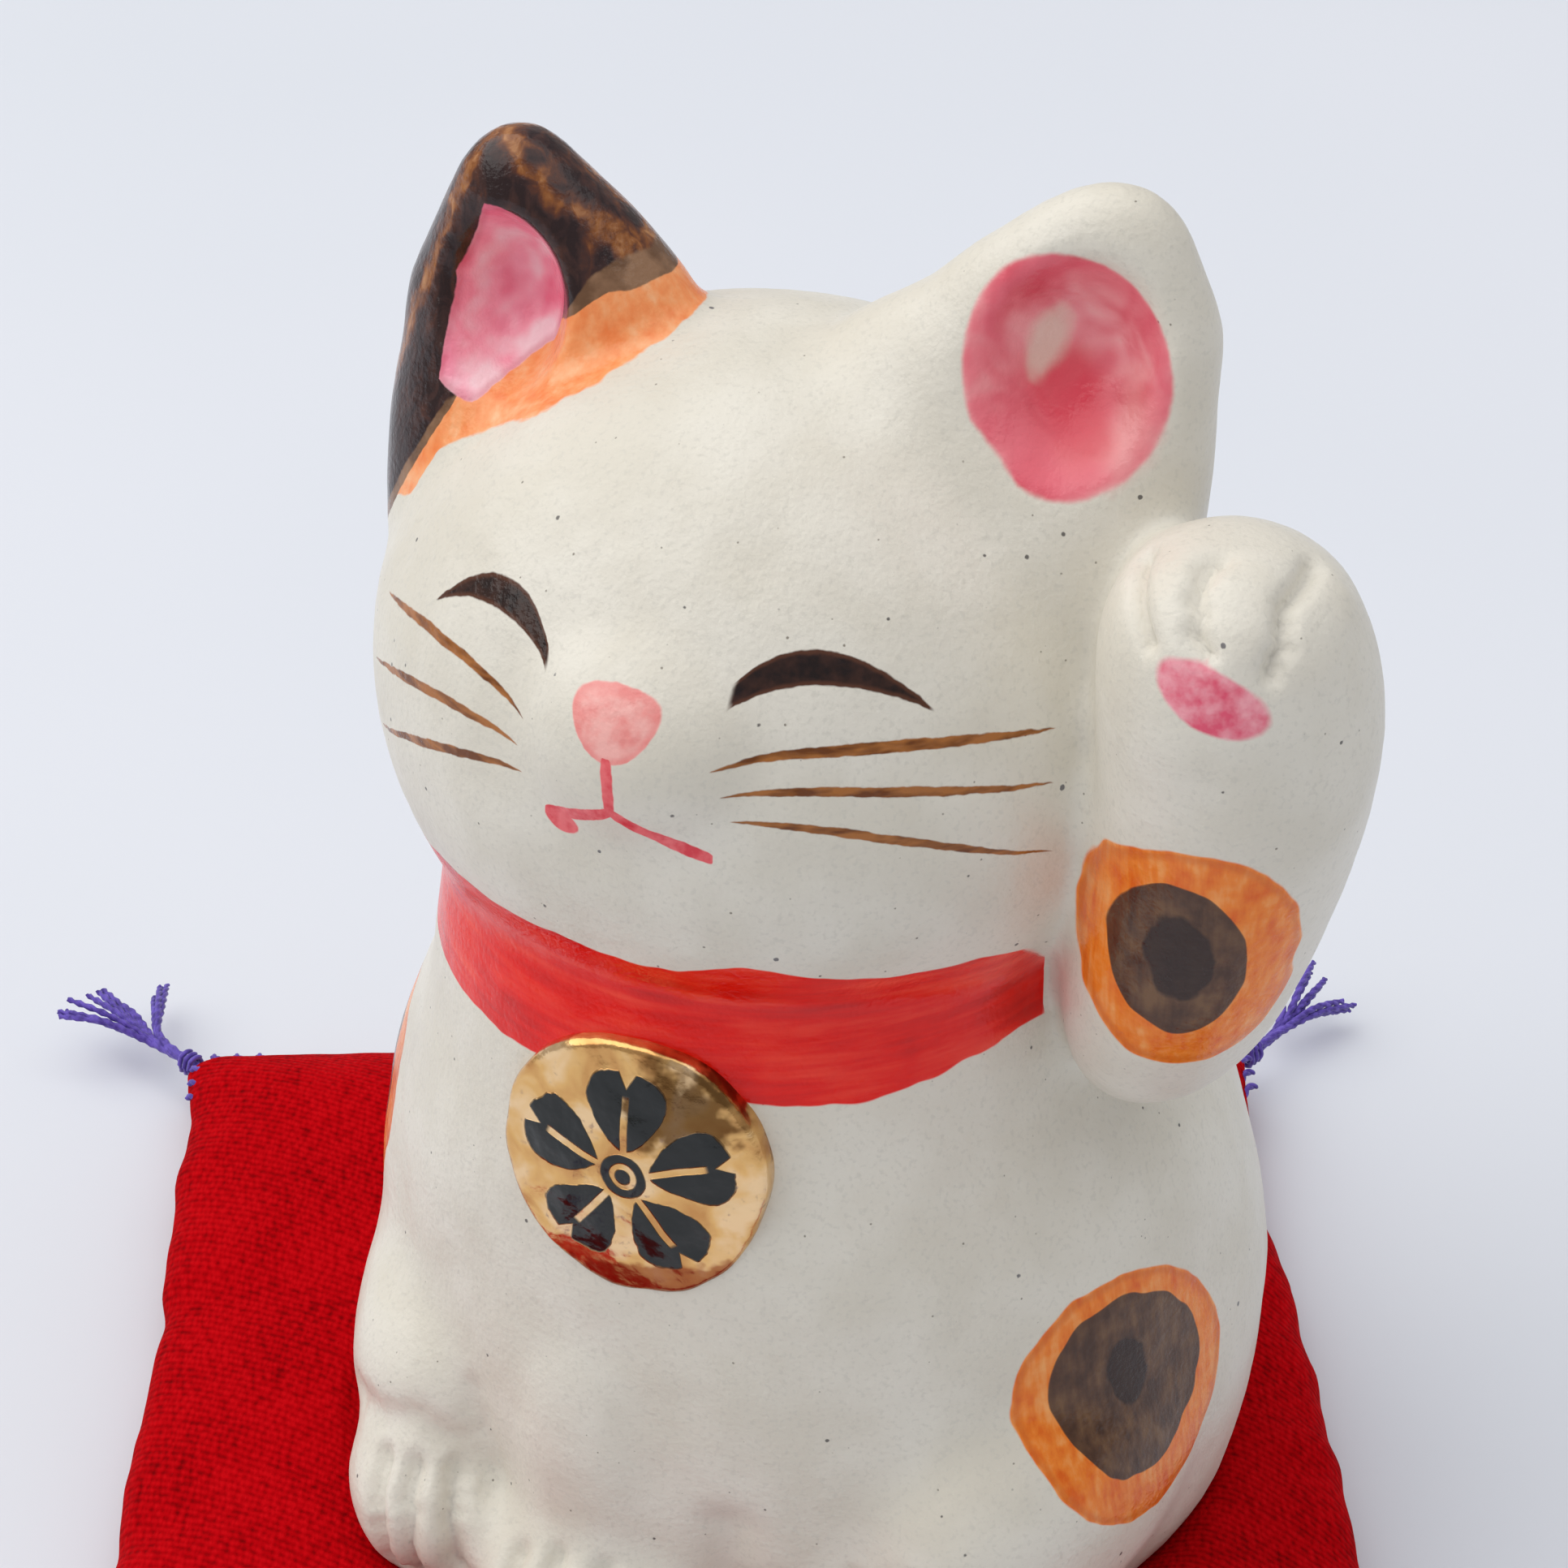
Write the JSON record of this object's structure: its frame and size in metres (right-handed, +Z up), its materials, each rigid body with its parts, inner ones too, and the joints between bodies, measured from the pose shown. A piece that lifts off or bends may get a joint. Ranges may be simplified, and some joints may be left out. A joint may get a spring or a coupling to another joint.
{
  "type": "beckoning cat figurine on cushion",
  "caption": "Hand-painted stoneware beckoning cat with its left paw raised and a gilded disc on its chest, sitting loose on a square red crepe cushion with corner tassels.",
  "frame": {"origin": "centre of the cushion's flat underside, on the surface that the cushion lies on", "axes": "+Z up, the cat faces -Y, its raised left paw is on the +X side; the cushion is turned 24 degrees anticlockwise seen from above"},
  "size_m": [0.1764, 0.1764, 0.1312],
  "materials": {
    "glazed_clay": "satin speckled glaze",
    "gilding": "gold lustre, lightly hammered",
    "crepe": "pebbled crepe",
    "wadding": "cotton wadding",
    "tassel_thread": "twisted thread"
  },
  "bodies": {
    "cushion": {"cushion_cover_top": "crepe", "cushion_cover_bottom": "crepe", "cushion_filling": "wadding", "tassel_1": "tassel_thread", "tassel_2": "tassel_thread", "tassel_3": "tassel_thread", "tassel_4": "tassel_thread"},
    "cat": {"body_shell": "glazed_clay", "head_shell": "glazed_clay", "raised_arm": "glazed_clay", "tail": "glazed_clay", "medallion": "gilding"}
  },
  "joints": [
    {"name": "cat_lift", "type": "slide", "parent": "cushion", "child": "cat", "axis": [0, 0, 1], "range_m": [0, 0.06]}
  ]
}
